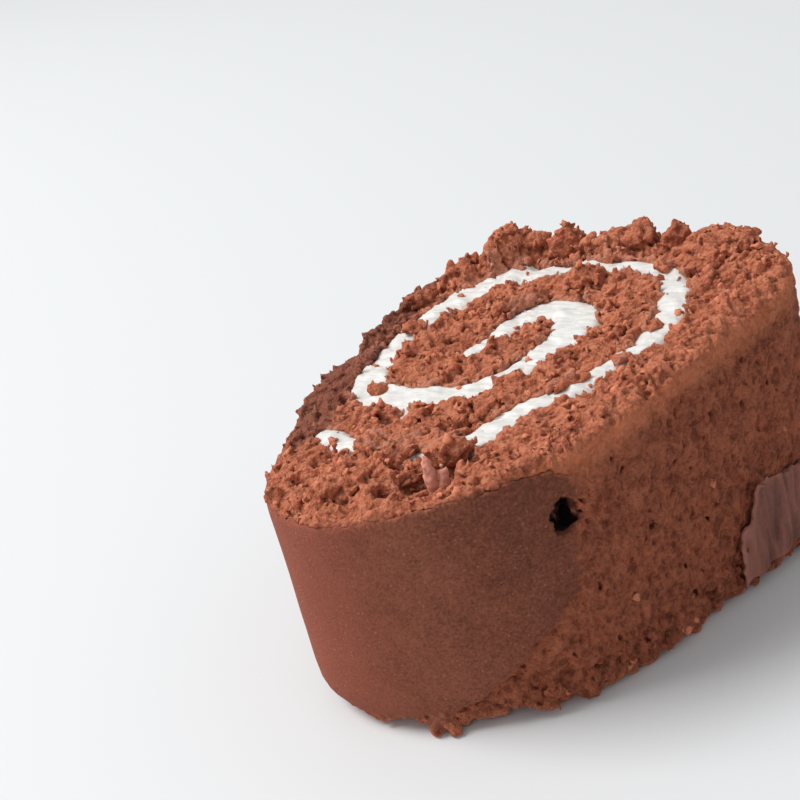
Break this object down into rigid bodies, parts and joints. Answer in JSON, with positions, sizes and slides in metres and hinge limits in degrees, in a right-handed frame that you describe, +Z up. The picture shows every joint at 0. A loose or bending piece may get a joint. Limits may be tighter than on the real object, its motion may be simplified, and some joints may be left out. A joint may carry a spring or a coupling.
{
  "type": "swiss roll cake slice",
  "caption": "Thick wedge-cut slice of chocolate swiss roll lying on a cut face, with a cream spiral running through the rolled sponge.",
  "frame": {"origin": "bottom centre of the bounding box, on the lower cut face that the slice rests on", "axes": "+Z up out of the upper cut face with the spiral, +X along the longest width towards the thicker side of the wedge, +Y away from the side with the burst bubble"},
  "size_m": [0.0844, 0.0754, 0.0478],
  "materials": {
    "sponge": "matte, open brown cake crumb with a smooth baked skin on part of the side",
    "cream": "soft satin, ivory-white whipped filling"
  },
  "bodies": {
    "root": {"sponge": "sponge", "cream": "cream"}
  },
  "joints": []
}
